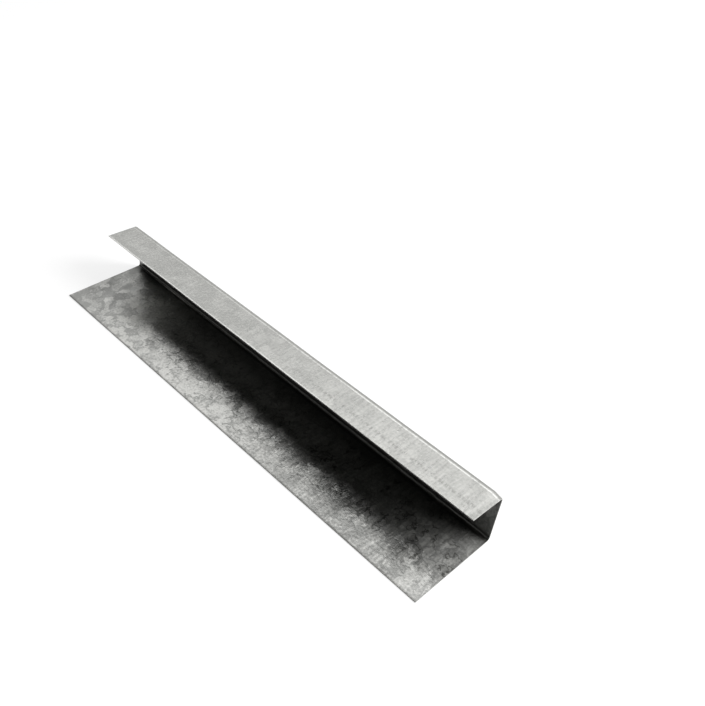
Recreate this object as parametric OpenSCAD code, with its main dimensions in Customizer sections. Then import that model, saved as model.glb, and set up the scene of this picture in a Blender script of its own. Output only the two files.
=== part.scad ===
// Furring channel track: one length of roll-formed galvanised sheet with a
// wide flange, a web and a narrow lip, open on the lip's side.
// It lies on its wide flange. X runs along the length, Y runs from the wide
// flange's free edge to the web, and the origin is under the middle of that flange.

/* [Section] */
// Height of the web, outside the two flanges
web_h = 30; // [15:0.5:60]
// Width of the wide flange, from its free edge to the web's outer face
wide_flange_w = 51; // [25:0.5:100]
// Width of the lip, from its free edge to the web's outer face
lip_w = 20; // [8:0.5:50]

/* [Sheet] */
// Thickness of the galvanised sheet
sheet_t = 0.6; // [0.4:0.05:1.5]
// Inside radius of the bends between the web and the flanges
bend_inner_r = 1.5; // [0.5:0.1:3]

/* [Length] */
// Length of the piece between its sheared ends
track_l = 280; // [100:10:3600]

/* [Hidden] */
$fn = 96;
bend_outer_r = bend_inner_r + sheet_t;
// Outer face of the web, and the free edges of the two flanges
web_y = wide_flange_w / 2;
wide_edge_y = web_y - wide_flange_w;
lip_edge_y = web_y - lip_w;
// Centres of the two bends
bend_y = web_y - bend_outer_r;
heel_z = bend_outer_r;
head_z = web_h - bend_outer_r;

// Flat strip of sheet that spans y0 to y1 and z0 to z1 in the section
module flat_strip(y0, z0, y1, z1) {
    translate([y0, z0]) square([y1 - y0, z1 - z0]);
}

// Quarter ring of sheet about the bend's centre, above or below it on the web's side
module bend(z, up) {
    translate([bend_y, z])
        intersection() {
            difference() {
                circle(r = bend_outer_r);
                circle(r = bend_inner_r);
            }
            translate([0, up ? 0 : -bend_outer_r]) square(bend_outer_r);
        }
}

// Section of the sheet across the length: wide flange, heel bend, web, head bend and lip
module section() {
    flat_strip(wide_edge_y, 0, bend_y, sheet_t);
    bend(heel_z, up = false);
    flat_strip(web_y - sheet_t, heel_z, web_y, head_z);
    bend(head_z, up = true);
    flat_strip(lip_edge_y, web_h - sheet_t, bend_y, web_h);
}

// The whole piece: its section carried straight along the length
module track() {
    color([0.66, 0.67, 0.65])
        rotate([90, 0, 90])
            linear_extrude(height = track_l, center = true)
                section();
}

track();
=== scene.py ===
"""Looks of a short length of furring channel track, laid on its wide flange on a pale floor."""
import math

import bpy
import numpy as np
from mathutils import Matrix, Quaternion, Vector


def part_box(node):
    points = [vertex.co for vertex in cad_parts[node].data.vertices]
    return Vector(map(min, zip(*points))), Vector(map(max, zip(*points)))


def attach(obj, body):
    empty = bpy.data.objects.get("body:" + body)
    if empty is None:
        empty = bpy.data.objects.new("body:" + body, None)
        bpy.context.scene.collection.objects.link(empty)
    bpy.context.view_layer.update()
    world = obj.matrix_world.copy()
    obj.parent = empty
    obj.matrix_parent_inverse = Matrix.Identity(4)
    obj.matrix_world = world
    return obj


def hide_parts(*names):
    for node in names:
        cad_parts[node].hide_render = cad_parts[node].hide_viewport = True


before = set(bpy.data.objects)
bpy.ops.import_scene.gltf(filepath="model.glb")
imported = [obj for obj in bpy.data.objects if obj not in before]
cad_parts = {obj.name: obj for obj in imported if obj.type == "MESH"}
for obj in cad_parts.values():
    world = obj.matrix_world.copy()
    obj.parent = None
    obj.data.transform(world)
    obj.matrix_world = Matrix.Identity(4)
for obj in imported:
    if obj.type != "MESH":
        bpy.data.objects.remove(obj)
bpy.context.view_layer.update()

# The track
# One strip of hot-dip galvanised steel, rolled cold into a wide flange, a web and a narrow lip. Its long
# edges were slit from the coil and its ends were sheared: bare steel shows there, with the outer skin drawn
# over the edge. The shear pressed one corner in, and cut the other end a little out of square.
mm = 0.001
low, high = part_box("track")
sheet_t = 0.6 * mm
lip_w = 20 * mm
bend_r = 1.8 * mm
corner = bend_r + sheet_t / 2
quarter = bend_r * math.pi / 2

# Distances across the flat strip, from the wide flange's free edge, at which each flat or bend ends
flange_end = high.y - low.y - corner
heel_end = flange_end + quarter
web_end = heel_end + high.z - low.z - 2 * corner
head_end = web_end + quarter
strip_w = head_end + lip_w - corner

# Widths over which each kind of cut draws the skin down, how far it falls there, the share of the cut that
# the blade burnished, and the length of the pressed corner
slit_zone = 0.25 * mm
slit_fall = 0.06 * mm
shear_zone = 0.4 * mm
shear_fall = 0.12 * mm
inner_zone = 0.12 * mm
inner_fall = 0.06 * mm
burnished_share = 0.75
pressed_zone = 4.5 * mm

# Spacing of the mesh over the flats, round the bends, at the cuts and at the pressed corner
flat_pitch = 1.2 * mm
bend_pitch = 0.25 * mm
length_pitch = 2.2 * mm
cut_pitch = 0.05 * mm
pressed_pitch = 0.6 * mm


def stations(*stretches):
    """Places along one direction: each stretch (start, stop, pitch) is split evenly into steps of
    about its pitch."""
    counts = [max(2, round((stop - start) / pitch) + 1) for start, stop, pitch in stretches]
    rows = [np.linspace(start, stop, count) for (start, stop, pitch), count in zip(stretches, counts)]
    return np.unique(np.round(np.concatenate(rows), 8))


def middle_line(across):
    """Place and height of the sheet's middle line over the strip: straight along the wide flange, a
    quarter circle up round the heel, straight up the web, a quarter circle back round the head, and
    straight back along the lip. The third value is the angle through which the line has turned."""
    heel = np.clip((across - flange_end) / bend_r, 0, math.pi / 2)
    head = np.clip((across - web_end) / bend_r, 0, math.pi / 2)
    y = low.y + np.minimum(across, flange_end) + bend_r * (np.sin(heel) + np.cos(head) - 1)
    y = y - np.maximum(across - head_end, 0)
    z = low.z + sheet_t / 2 + bend_r * (1 - np.cos(heel) + np.sin(head))
    z = z + np.clip(across - heel_end, 0, web_end - heel_end)
    return y, z, heel + head


def drawn_edge(inset, width, depth):
    """Fall of the skin at a cut: a quarter ellipse of that width and depth, flat further in."""
    return depth * (1 - np.sqrt(1 - np.clip(1 - inset / width, 0, 1) ** 2))


def slack(along, across):
    """Sag of the sheet from true, never outwards: three long sine waves that cross the strip at unlike
    slants, added up and lowered so that their highest point is zero. Each wave has its length along the
    strip, its length across it and its turn."""
    depth = 0.025 * mm
    waves = ((62 * mm, 240 * mm, 0.4), (-97 * mm, 118 * mm, 2.1), (171 * mm, -64 * mm, 4.0))
    return sum(depth * (np.sin(2 * math.pi * (along / u + across / v) + turn) - 1) for u, v, turn in waves)


def towards_web(y):
    """Share of the way back across the lip: nought at its free edge, and evenly up to one at the web."""
    return np.clip((y - high.y + lip_w) / lip_w, 0, 1)


def pressed(along, y, z):
    """Fall of the head bend at the near end: it grows evenly over the last few millimetres of the length
    and across the lip towards the web, and as the square of the height up the web above its foot."""
    depth = 1.4 * mm
    foot = 16 * mm
    reach = np.clip((along - high.x + pressed_zone) / pressed_zone, 0, 1)
    up = np.clip((z - foot) / (high.z - foot), 0, 1)
    return depth * reach * up ** 2 * towards_web(y)


def leant_web(along, y, z):
    """Set of the web and lip out of true: the web's head leans in at the far end and out at the near
    end, and the lip's free edge stands out a little at the far end. Both change evenly along the
    length and grow with height, and the one passes evenly into the other across the lip."""
    ends = (low.x, high.x)
    head_lean = (-0.5 * mm, 1.5 * mm)
    edge_lean = (-0.5 * mm, 0)
    rise = np.clip((z - low.z) / (high.z - low.z), 0, 1)
    back = towards_web(y)
    head = np.interp(along, ends, head_lean)
    edge = np.interp(along, ends, edge_lean)
    return rise * (head * back + edge * (1 - back))


def sheared_slant(along, across):
    """Shift of the far end's cut along the length: out of square over the wide flange, back to true up the
    web, and a little long again at the lip's edge. It fades evenly to nothing away from that end."""
    places = (0, flange_end, web_end, strip_w)
    shifts = (0.9 * mm, -1.4 * mm, 0, -0.5 * mm)
    reach = 30 * mm
    return np.interp(across, places, shifts) * np.clip(1 - (along - low.x) / reach, 0, 1)


def sheet_face(along, across, side):
    """One face of the sheet over the strip's length and width, with side 1 outside the bends and -1
    inside. It lies half a thickness from the middle line along that line's normal, less the drawn edge
    at a cut and the slack. The web's lean is then added, the head bend is pressed at the near end, and
    the far end is cut out of square."""
    y, z, turn = middle_line(across)
    slit = np.minimum(across, strip_w - across)
    shear = np.minimum(along - low.x, high.x - along)
    fall = drawn_edge(np.minimum(slit, shear), inner_zone, inner_fall)
    if side > 0:
        fall = np.maximum(drawn_edge(slit, slit_zone, slit_fall), drawn_edge(shear, shear_zone, shear_fall))
    off = side * (sheet_t / 2 - fall) + slack(along, across)
    y = y + off * np.sin(turn)
    z = z - off * np.cos(turn)
    y = y + leant_web(along, y, z)
    return np.stack([along + sheared_slant(along, across), y, z - pressed(along, y, z)], axis=-1)


lengths = stations(
    (low.x, low.x + shear_zone, cut_pitch),
    (low.x + shear_zone, high.x - pressed_zone, length_pitch),
    (high.x - pressed_zone, high.x - shear_zone, pressed_pitch),
    (high.x - shear_zone, high.x, cut_pitch),
)
widths = stations(
    (0, slit_zone, cut_pitch),
    (slit_zone, flange_end, flat_pitch),
    (flange_end, heel_end, bend_pitch),
    (heel_end, web_end, flat_pitch),
    (web_end, head_end, bend_pitch),
    (head_end, strip_w - slit_zone, flat_pitch),
    (strip_w - slit_zone, strip_w, cut_pitch),
)
along, across = np.meshgrid(lengths, widths, indexing="ij")
outside = np.arange(along.size).reshape(along.shape)
inside = outside + along.size


def cells(corner_ids):
    """Four corners of each cell of a grid of point numbers, turned from the grid's first direction to
    its second."""
    c = corner_ids
    return np.stack([c[:-1, :-1], c[1:, :-1], c[1:, 1:], c[:-1, 1:]], axis=-1).reshape(-1, 4)


# The two faces of the sheet, and the cut edge between them as two bands that run all the way round
skin = np.concatenate([cells(outside.T), cells(inside)])
ring = np.concatenate([outside[:-1, 0], outside[-1, :-1], outside[:0:-1, -1], outside[0, :0:-1]])
middle = 2 * along.size + np.arange(ring.size)
rims = (ring, middle, ring + along.size)
outer_rim, middle_rim, inner_rim = (np.append(ids, ids[0]) for ids in rims)
burnished = cells(np.stack([outer_rim, middle_rim], axis=1))
broken = cells(np.stack([middle_rim, inner_rim], axis=1))
faces = np.concatenate([skin, burnished, broken])

# Each face's finish, in the order of the materials below: zinc, burnished steel, torn steel
zinc_coat, burnished_cut, torn_cut = range(3)
counts = [len(skin), len(burnished), len(broken)]
finish = np.repeat([zinc_coat, burnished_cut, torn_cut], counts)
# The wide flange's free edge takes the dark torn steel all along: a painted shadow where it meets the floor
coil_edge = slice(len(skin), len(skin) + lengths.size - 1)
finish[coil_edge] = torn_cut
outer_points, inner_points = (sheet_face(along, across, side).reshape(-1, 3) for side in (1, -1))
rim_points = (1 - burnished_share) * outer_points[ring] + burnished_share * inner_points[ring]
sheet = bpy.data.meshes.new("track_sheet")
sheet_points = np.concatenate([outer_points, inner_points, rim_points])
sheet.from_pydata(sheet_points.tolist(), [], faces.tolist())
sheet.polygons.foreach_set("use_smooth", finish == zinc_coat)
sheet.polygons.foreach_set("material_index", finish.astype(np.int32))

# The strip's own flat coordinates, in metres, with the inside face laid beside the outside one
flat = np.stack([along.ravel(), across.ravel()], axis=-1)
flat = np.concatenate([flat, flat + (0, strip_w), flat[ring]])
loop_points = np.empty(len(sheet.loops), np.int32)
sheet.loops.foreach_get("vertex_index", loop_points)
strip_map = sheet.uv_layers.new(name="strip")
strip_map.uv.foreach_set("vector", flat[loop_points].astype(np.float32).ravel())


class Wire:
    """A node's socket. Arithmetic on wires adds Math nodes, and node() adds any other node to its tree."""

    def __init__(self, tree, socket=None):
        self.tree = tree
        self.socket = socket

    def node(self, kind, settings=(), sockets=(), out=0):
        """Adds a node of that type, sets its settings, sets or links its sockets, and gives one output."""
        made = self.tree.nodes.new(kind)
        for name, value in dict(settings).items():
            setattr(made, name, value)
        for name, value in dict(sockets).items():
            if isinstance(value, Wire):
                self.tree.links.new(value.socket, made.inputs[name])
            else:
                made.inputs[name].default_value = value
        return Wire(self.tree, made.outputs[out])

    def out(self, name):
        """Another output of the same node."""
        return Wire(self.tree, self.socket.node.outputs[name])

    def math(self, operation, first, second):
        return self.node("ShaderNodeMath", {"operation": operation}, {0: first, 1: second})

    def vector(self, operation, first, second, out=0):
        return self.node("ShaderNodeVectorMath", {"operation": operation}, {0: first, 1: second}, out)

    def __add__(self, other):
        return self.math("ADD", self, other)

    def __sub__(self, other):
        return self.math("SUBTRACT", self, other)

    def __mul__(self, other):
        return self.math("MULTIPLY", self, other)

    def __rsub__(self, other):
        return self.math("SUBTRACT", other, self)

    __radd__ = __add__
    __rmul__ = __mul__


def shader_of(name):
    """A new material with the plain shader, as (material, its shader, a loose wire in its tree). The loose
    wire is called new, and the helpers below add their nodes to the tree of the latest one."""
    made = bpy.data.materials.new(name)
    made.use_nodes = True
    return made, made.node_tree.nodes["Principled BSDF"], Wire(made.node_tree)


# Zinc coat: soft-edged spangles a few millimetres across, each a crystal that leans its own way, some with
# dark outlines, with the cross marks of the rolls and a few pimples of dross. The rolls made the outside
# smoother, and handling has smudged and scored it here and there. Painted shade darkens the inside face,
# the heel, the web, the underside of the lip and the head bend, and painted highlights and painted light
# brighten the lip's edges, the heel line and the channel's ends.
outside_dark = (0.338, 0.34, 0.326, 1)
outside_light = (0.46, 0.46, 0.441, 1)
# The inside's colours are darker than the outside's, as painted shade inside the channel
inside_dark = (0.262, 0.264, 0.254, 1)
inside_light = (0.45, 0.45, 0.432, 1)
# Tones of painted highlights and painted light, of painted shade on the head bend, and of oil, marks and
# painted shade
highlight_tone = (0.70, 0.70, 0.68, 1)
painted_light_tone = (0.92, 0.92, 0.90, 1)
bend_shade_tone = (0.30, 0.30, 0.288, 1)
oil_and_shade_tone = (0.06, 0.06, 0.055, 1)
zinc, shader, new = shader_of("spangled_zinc")
strip = new.node("ShaderNodeUVMap", {"uv_map": "strip"})
place = new.vector("MULTIPLY", strip, (1 / mm, 1 / mm, 1))
along_mm = new.node("ShaderNodeSeparateXYZ", {}, {"Vector": place}, "X")
across_mm = along_mm.out("Y")

# Places on that map, in millimetres: the two ends along it, and across it the end of the head bend, the
# lip's edge, past which the inside face is laid, and on that face the starts of the heel and of the lip
far_mm = low.x / mm
near_mm = high.x / mm
head_mm = head_end / mm
edge_mm = strip_w / mm
heel_mm = (strip_w + flange_end) / mm
under_mm = (strip_w + head_end) / mm
is_inside = new.math("GREATER_THAN", across_mm, edge_mm)


def mottle(vector, scale, detail, out="Fac"):
    """Flat cloudy noise over the strip, in cycles to the millimetre."""
    sockets = {"Vector": vector, "Scale": scale, "Detail": detail, "Roughness": 0.55}
    return new.node("ShaderNodeTexNoise", {"noise_dimensions": "2D"}, sockets, out)


def ease(value, start, stop):
    """Rises smoothly from zero at start to one at stop."""
    sockets = {"Value": value, "From Min": start, "From Max": stop}
    return new.node("ShaderNodeMapRange", {"interpolation_type": "SMOOTHSTEP"}, sockets, "Result")


def fade(value, start, stop):
    """Falls smoothly from one at start to zero at stop."""
    return 1 - ease(value, start, stop)


def band(value, start, stop, blur):
    """One between start and stop, and zero outside them, with edges that are blur wide."""
    return ease(value, start - blur / 2, start + blur / 2) - ease(value, stop - blur / 2, stop + blur / 2)


def at_least(floor, mask):
    """A mask raised so that it runs from that floor, where it was zero, up to one."""
    return floor + mask * (1 - floor)


def swing(pattern, amount):
    """How far a pattern lies from its middle, times an amount."""
    return (pattern - 0.5) * amount


def blended(amount, first, second):
    """Colour between two, by an amount from nought to one."""
    return new.node("ShaderNodeMix", {"data_type": "RGBA"}, {0: amount, 6: first, 7: second}, 2)


# Crystals with wandering outlines, and the tone that is each one's own
spangle_size = 5.4
stray_mm = 6


def crystals(feature, out, **sockets):
    """Cells of the zinc's crystals over the strip, a spangle wide on average."""
    sockets = {"Vector": wander, "Scale": 1 / spangle_size, **sockets}
    settings = {"voronoi_dimensions": "2D", "feature": feature}
    return new.node("ShaderNodeTexVoronoi", settings, sockets, out)


stray = new.vector("MULTIPLY", mottle(place, scale=0.3, detail=4, out="Color"), (stray_mm, stray_mm, 0))
wander = new.vector("ADD", place, stray)
spangle = crystals("SMOOTH_F1", "Color", Smoothness=0.15)
own_tone = new.node("ShaderNodeSeparateColor", {}, {"Color": spangle}, "Red")
outline = fade(crystals("DISTANCE_TO_EDGE", "Distance"), 0.0, 0.15)
outline = outline * ease(mottle(place, scale=0.11, detail=3), 0.44, 0.56)

# Streaks of the rolls across the length, stronger towards the near end, with clouds and a fine grain
streak = mottle(new.vector("MULTIPLY", place, (0.6, 0.06, 0)), scale=1, detail=4)
streaky = at_least(0.35, ease(along_mm, -60, 100))
cloud = mottle(place, scale=0.12, detail=3)
grain = mottle(place, scale=0.8, detail=4)
tone = 0.5 + swing(streak, streaky * 1.6) + swing(grain, 1.8)

# The outside is a little darker towards the far end. Inside, the spangles stand out more there, and one
# slow wave along the length carries both the tone and the lean of the surface.
wave_mm = 230
crest_mm = -34
drift = new.math("COSINE", (along_mm - crest_mm) * (2 * math.pi / wave_mm), 0)
outside_tone = tone + swing(own_tone, 0.35) + swing(cloud, 0.6) - fade(along_mm, -100, 110) * 0.28
spangled = 0.65 - streaky * 0.4 + fade(along_mm, -120, -60) * 0.8
inside_tone = tone + swing(own_tone, spangled) + swing(cloud, 1.1)
inside_tone = inside_tone - outline * 1.2 + drift * 0.25 + 0.05

# Dark smudges on the wide flange, clear of its free edge, with curled marks along one contour of a noise
inboard = ease(across_mm, edge_mm + 6, edge_mm + 18)
smudge = ease(mottle(wander, scale=0.08, detail=3), 0.49, 0.57)
smudge = smudge * at_least(0.35, ease(along_mm, -40, 60))
smudge = smudge * inboard * fade(across_mm, heel_mm - 2, heel_mm + 2)
off_contour = new.math("ABSOLUTE", mottle(place, scale=0.17, detail=2) - 0.5, 0)
curled = fade(off_contour, 0.01, 0.045) * smudge

# A ticked score along the near half of the lip, and a painted shadow: a thin dark line along the free edge
# of the wide flange, where it meets the floor
scored_mm = edge_mm - 5.5
score_half = 0.9
ticks = mottle(new.vector("MULTIPLY", place, (0.8, 0.25, 0)), scale=1, detail=3)
score = band(across_mm, scored_mm - score_half, scored_mm + score_half, blur=1)
score = score * ease(ticks, 0.42, 0.6) * ease(along_mm, 0, 50)
# Painted shadow along the wide flange's free edge
slit = fade(across_mm, edge_mm + 0.4, edge_mm + 1.1)

# The head bend, darkened by painted shade, with a painted highlight line beside it and another on the lip's
# edge
nearward = ease(along_mm, far_mm, 110)
# Painted shade on the head bend
bend_shade = band(across_mm, head_mm - 2.4, head_mm + 0.2, blur=0.4) * at_least(0.5, nearward)
# Painted highlight lines beside the head bend and along the lip's edge
highlight_line = band(across_mm, head_mm + 0.6, head_mm + 1.2, blur=0.5) * at_least(0.3, nearward)
highlight_line = highlight_line * at_least(0.45, ease(mottle(place, scale=0.4, detail=3), 0.40, 0.54))
lip_edge = ease(across_mm, edge_mm - 0.9, edge_mm - 0.4)
highlight_line = highlight_line + lip_edge * fade(along_mm, 20, 70) * 0.6

# Painted shade in the heel, up the web and under the lip, with a thin painted highlight line left in the
# heel that climbs the bend towards the near end. Painted light lifts the shade at both ends of the wide
# flange, and brightens the web and the underside of the lip at the far end.
painted_shade = ease(across_mm, heel_mm - 20, heel_mm - 2) * 0.7
painted_shade = painted_shade + band(across_mm, heel_mm - 1, heel_mm + 4, blur=1) * 0.25
painted_shade = painted_shade - band(across_mm, heel_mm + 4, under_mm - 4, blur=3) * 0.3
# A thin painted highlight line along the heel bend, where the painted shade is lifted
heel_line_mm = across_mm - ease(along_mm, far_mm, 100) * 0.5
heel_highlight = band(heel_line_mm, heel_mm + 0.4, heel_mm + 1.1, blur=0.4) * fade(along_mm, 100, 125)
# Painted light: the shade is lifted at both ends of the wide flange, where light comes in at the open ends
lit_ends = ease(along_mm, near_mm - 24, near_mm) * 0.45 + fade(along_mm, far_mm, far_mm + 34) * 0.8
lit_ends = lit_ends * fade(across_mm, heel_mm - 5, heel_mm - 1)
is_under = ease(across_mm, under_mm - 2, under_mm + 2)
on_web = ease(across_mm, heel_mm + 6, heel_mm + 10)
# Painted light on the web and under the lip at the far end
far_end_light = fade(along_mm, far_mm, far_mm + 43) * (on_web + is_under) * 0.5
painted_shade = (painted_shade - heel_highlight * 0.45) * (1 - lit_ends) * (1 - far_end_light)

# Colours of the two faces, and a matt bloom inside the near end
outside_colour = blended(outside_tone, outside_dark, outside_light)
# The painted highlight lines, then the head bend's painted shade, over the outside's colour
outside_colour = blended(bend_shade, blended(highlight_line, outside_colour, highlight_tone), bend_shade_tone)
outside_colour = blended(score * 0.32, outside_colour, oil_and_shade_tone)
# Painted light: the web and the underside of the lip brightened towards the far end
painted_shine = blended(is_under, highlight_tone, painted_light_tone)
inside_colour = blended(far_end_light * 0.9, blended(inside_tone, inside_dark, inside_light), painted_shine)
# Painted shade in the heel, up the web and under the lip
inside_colour = blended(painted_shade, inside_colour, oil_and_shade_tone)
# A painted shadow along the wide flange's free edge, with the smudges and their curled marks
inside_colour = blended(slit * 0.5 + curled * 0.55 + smudge * 0.3, inside_colour, oil_and_shade_tone)
colour = blended(is_inside, outside_colour, inside_colour)
bloom = ease(along_mm, near_mm - 18, near_mm) * is_inside
roughness = 0.22 + is_inside * 0.09 + swing(own_tone, 0.04)
metallic = 0.77 - streak * 0.1 + is_inside * 0.13 - bloom * 0.25


def leaning(pattern, amount):
    """Sideways lean of the surface from a pattern's first two channels, as a share of the normal."""
    return new.vector("MULTIPLY", new.vector("SUBTRACT", pattern, (0.5, 0.5, 0.5)), (amount, amount, 0))


def scaled(vector, amount):
    """A vector times a number or a wire."""
    return new.node("ShaderNodeVectorMath", {"operation": "SCALE"}, {0: vector, "Scale": amount})


# Lean of the crystals, the streaks and the grain, mostly inside, and under it the relief of grain, clouds,
# sunken outlines and pimples of dross, each two millimetres wide
dross_spacing = 24
facets = new.vector("ADD", leaning(spangle, 0.075), leaning(streak.out("Color"), 0.09))
facets = scaled(facets, at_least(0.3, streaky) * at_least(0.3, inboard))
facets = new.vector("ADD", facets, leaning(grain.out("Color"), 0.07))
facets = new.vector("ADD", facets, new.node("ShaderNodeCombineXYZ", {}, {"Y": drift * -0.02}))
facets = scaled(facets, at_least(0.25, is_inside))
lean_colour = new.vector("ADD", facets, (0.5, 0.5, 1))
leant = new.node("ShaderNodeNormalMap", {"uv_map": "strip"}, {"Color": lean_colour, "Strength": 1})
dross = {"Vector": place, "Scale": 1 / dross_spacing}
pimples = new.node("ShaderNodeTexVoronoi", {"voronoi_dimensions": "2D"}, dross, "Distance")
pimple = new.math("MAXIMUM", 1 - pimples * dross_spacing, 0)
relief = grain * 0.03 + cloud * 0.06 + pimple * pimple * 0.08 - outline * is_inside * 0.02
bump = new.node("ShaderNodeBump", {}, {"Height": relief, "Distance": mm, "Strength": 1, "Normal": leant})
zinc.node_tree.links.new(colour.socket, shader.inputs["Base Color"])
zinc.node_tree.links.new(roughness.socket, shader.inputs["Roughness"])
zinc.node_tree.links.new(metallic.socket, shader.inputs["Metallic"])
zinc.node_tree.links.new(bump.socket, shader.inputs["Normal"])
sheet.materials.append(zinc)

# Bare steel on the cut edges: a bright band that the blade burnished, on the side that it came in by, and
# a dull torn band where the sheet broke through. The wide flange's free edge is the dark torn steel all
# along, as a painted shadow where it meets the floor.
for name, dark, light, dullness in (
    ("burnished_steel", (0.52, 0.515, 0.50, 1), (0.68, 0.67, 0.65, 1), 0.32),
    ("torn_steel", (0.14, 0.135, 0.13, 1), (0.30, 0.29, 0.28, 1), 0.5),
):
    steel, shader, new = shader_of(name)
    spot = new.node("ShaderNodeTexCoord", {}, {}, "Object")
    marks = new.node("ShaderNodeTexNoise", {}, {"Vector": spot, "Scale": 1500, "Detail": 3}, "Fac")
    steel.node_tree.links.new(blended(marks, dark, light).socket, shader.inputs["Base Color"])
    shader.inputs["Metallic"].default_value = 1.0
    shader.inputs["Roughness"].default_value = dullness
    sheet.materials.append(steel)

track = bpy.data.objects.new("track_sheet", sheet)
bpy.context.scene.collection.objects.link(track)
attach(track, "root")
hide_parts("track")

# The floor
# A broad matt white table under the piece, which fills the view and takes its soft shadow.
# It shows itself as white to the eye and to the metal, and lights the piece only by what falls on it.
floor_half = 4.0
floor_tone = (0.14, 0.14, 0.14, 1)
floor_glow = 0.82
floor_line = np.linspace(-floor_half, floor_half, 9)
u, v = np.meshgrid(floor_line, floor_line, indexing="ij")
floor_points = np.stack([u, v, np.full_like(u, low.z)], axis=-1).reshape(-1, 3)
floor_mesh = bpy.data.meshes.new("floor")
floor_mesh.from_pydata(floor_points.tolist(), [], cells(np.arange(u.size).reshape(u.shape)).tolist())
white, shader, new = shader_of("matt_white")
shader.inputs["Base Color"].default_value = floor_tone
shader.inputs["Roughness"].default_value = 0.9
shader.inputs["Specular IOR Level"].default_value = 0.1
rays = new.node("ShaderNodeLightPath", {}, {}, "Is Camera Ray")
seen = new.math("MAXIMUM", rays, rays.out("Is Glossy Ray"))
seen = new.math("MAXIMUM", seen, rays.out("Is Transmission Ray"))
glow = new.node("ShaderNodeEmission", {}, {"Color": (1, 1, 1, 1), "Strength": seen * floor_glow})
both = new.node("ShaderNodeAddShader", {}, {0: Wire(white.node_tree, shader.outputs[0]), 1: glow})
white.node_tree.links.new(both.socket, white.node_tree.nodes["Material Output"].inputs["Surface"])
floor_mesh.materials.append(white)
floor = bpy.data.objects.new("floor", floor_mesh)
bpy.context.scene.collection.objects.link(floor)

# The light
# A room that is pale low down all round, with one broad pale wall behind the piece, brighter towards its
# top, and a soft box behind on the right. High up in front of the open channel it is left dark.
room_tone = 0.005
wall_tone = 0.66
wall_rise = 0.7
crest_tone = 1.4
low_tone = 0.95
to_wall = (0, 0.97, -0.24)
to_crest = (0, -0.866, 0.5)
world = bpy.data.worlds.new("dim_room")
world.use_nodes = True
bpy.context.scene.world = world
new = Wire(world.node_tree)
facing = new.node("ShaderNodeTexCoord", {}, {}, "Generated")
up = new.node("ShaderNodeSeparateXYZ", {}, {"Vector": facing}, "Z")
behind = new.vector("DOT_PRODUCT", facing, to_wall, "Value")
over = new.vector("DOT_PRODUCT", facing, to_crest, "Value")
wall = wall_tone + ease(up, 0.45, 0.9) * wall_rise + ease(over, -0.09, 0.09) * crest_tone
backed = ease(behind, -0.12, 0.14) * ease(up, -0.02, 0.02) * wall
sky = new.math("MAXIMUM", backed, fade(up, 0.05, 0.4) * low_tone) + room_tone
world.node_tree.links.new(sky.socket, world.node_tree.nodes["Background"].inputs["Strength"])
world.node_tree.nodes["Background"].inputs["Color"].default_value = (1, 1, 1, 1)


def soft_box(name, azimuth, elevation, distance, width, height, radiance):
    """A rectangular lamp turned to the piece, with its azimuth from X towards Y. Its watts are four times
    its face's brightness times the face's area. Neither the camera nor the metal shows its face."""
    a = math.radians(azimuth)
    e = math.radians(elevation)
    stand = distance * Vector((math.cos(e) * math.cos(a), math.cos(e) * math.sin(a), math.sin(e)))
    lamp = bpy.data.lights.new(name, "AREA")
    lamp.shape = "RECTANGLE"
    lamp.size = width
    lamp.size_y = height
    lamp.energy = 4 * radiance * width * height
    made = bpy.data.objects.new(name, lamp)
    made.location = stand
    made.rotation_mode = "QUATERNION"
    made.rotation_quaternion = (-stand).to_track_quat("-Z", "Y")
    made.visible_camera = False
    made.visible_glossy = False
    bpy.context.scene.collection.objects.link(made)


soft_box("key_box", azimuth=36, elevation=32, distance=1.4, width=0.8, height=0.9, radiance=20)

# The camera
# It stands above the open side near one end, turned a little about its line of sight.
# Its lens is given in pixels of a picture that is 706 pixels on its longer side.
lens_px = 841.0
frame_px = 706
roll = 6.56
camera_data = bpy.data.cameras.new("camera")
camera_data.sensor_width = 36
camera_data.lens = lens_px * camera_data.sensor_width / frame_px
camera_data.clip_start = 0.01
camera = bpy.data.objects.new("camera", camera_data)
camera.location = (0.2509, -0.2096, 0.3046)
aim = Vector((0.0042, 0.0704, 0.0))
camera.rotation_mode = "QUATERNION"
level = (aim - camera.location).to_track_quat("-Z", "Y")
camera.rotation_quaternion = level @ Quaternion((0, 0, 1), math.radians(roll))
bpy.context.scene.collection.objects.link(camera)
bpy.context.scene.camera = camera
bpy.context.scene.view_settings.view_transform = "Standard"

bpy.context.view_layer.update()
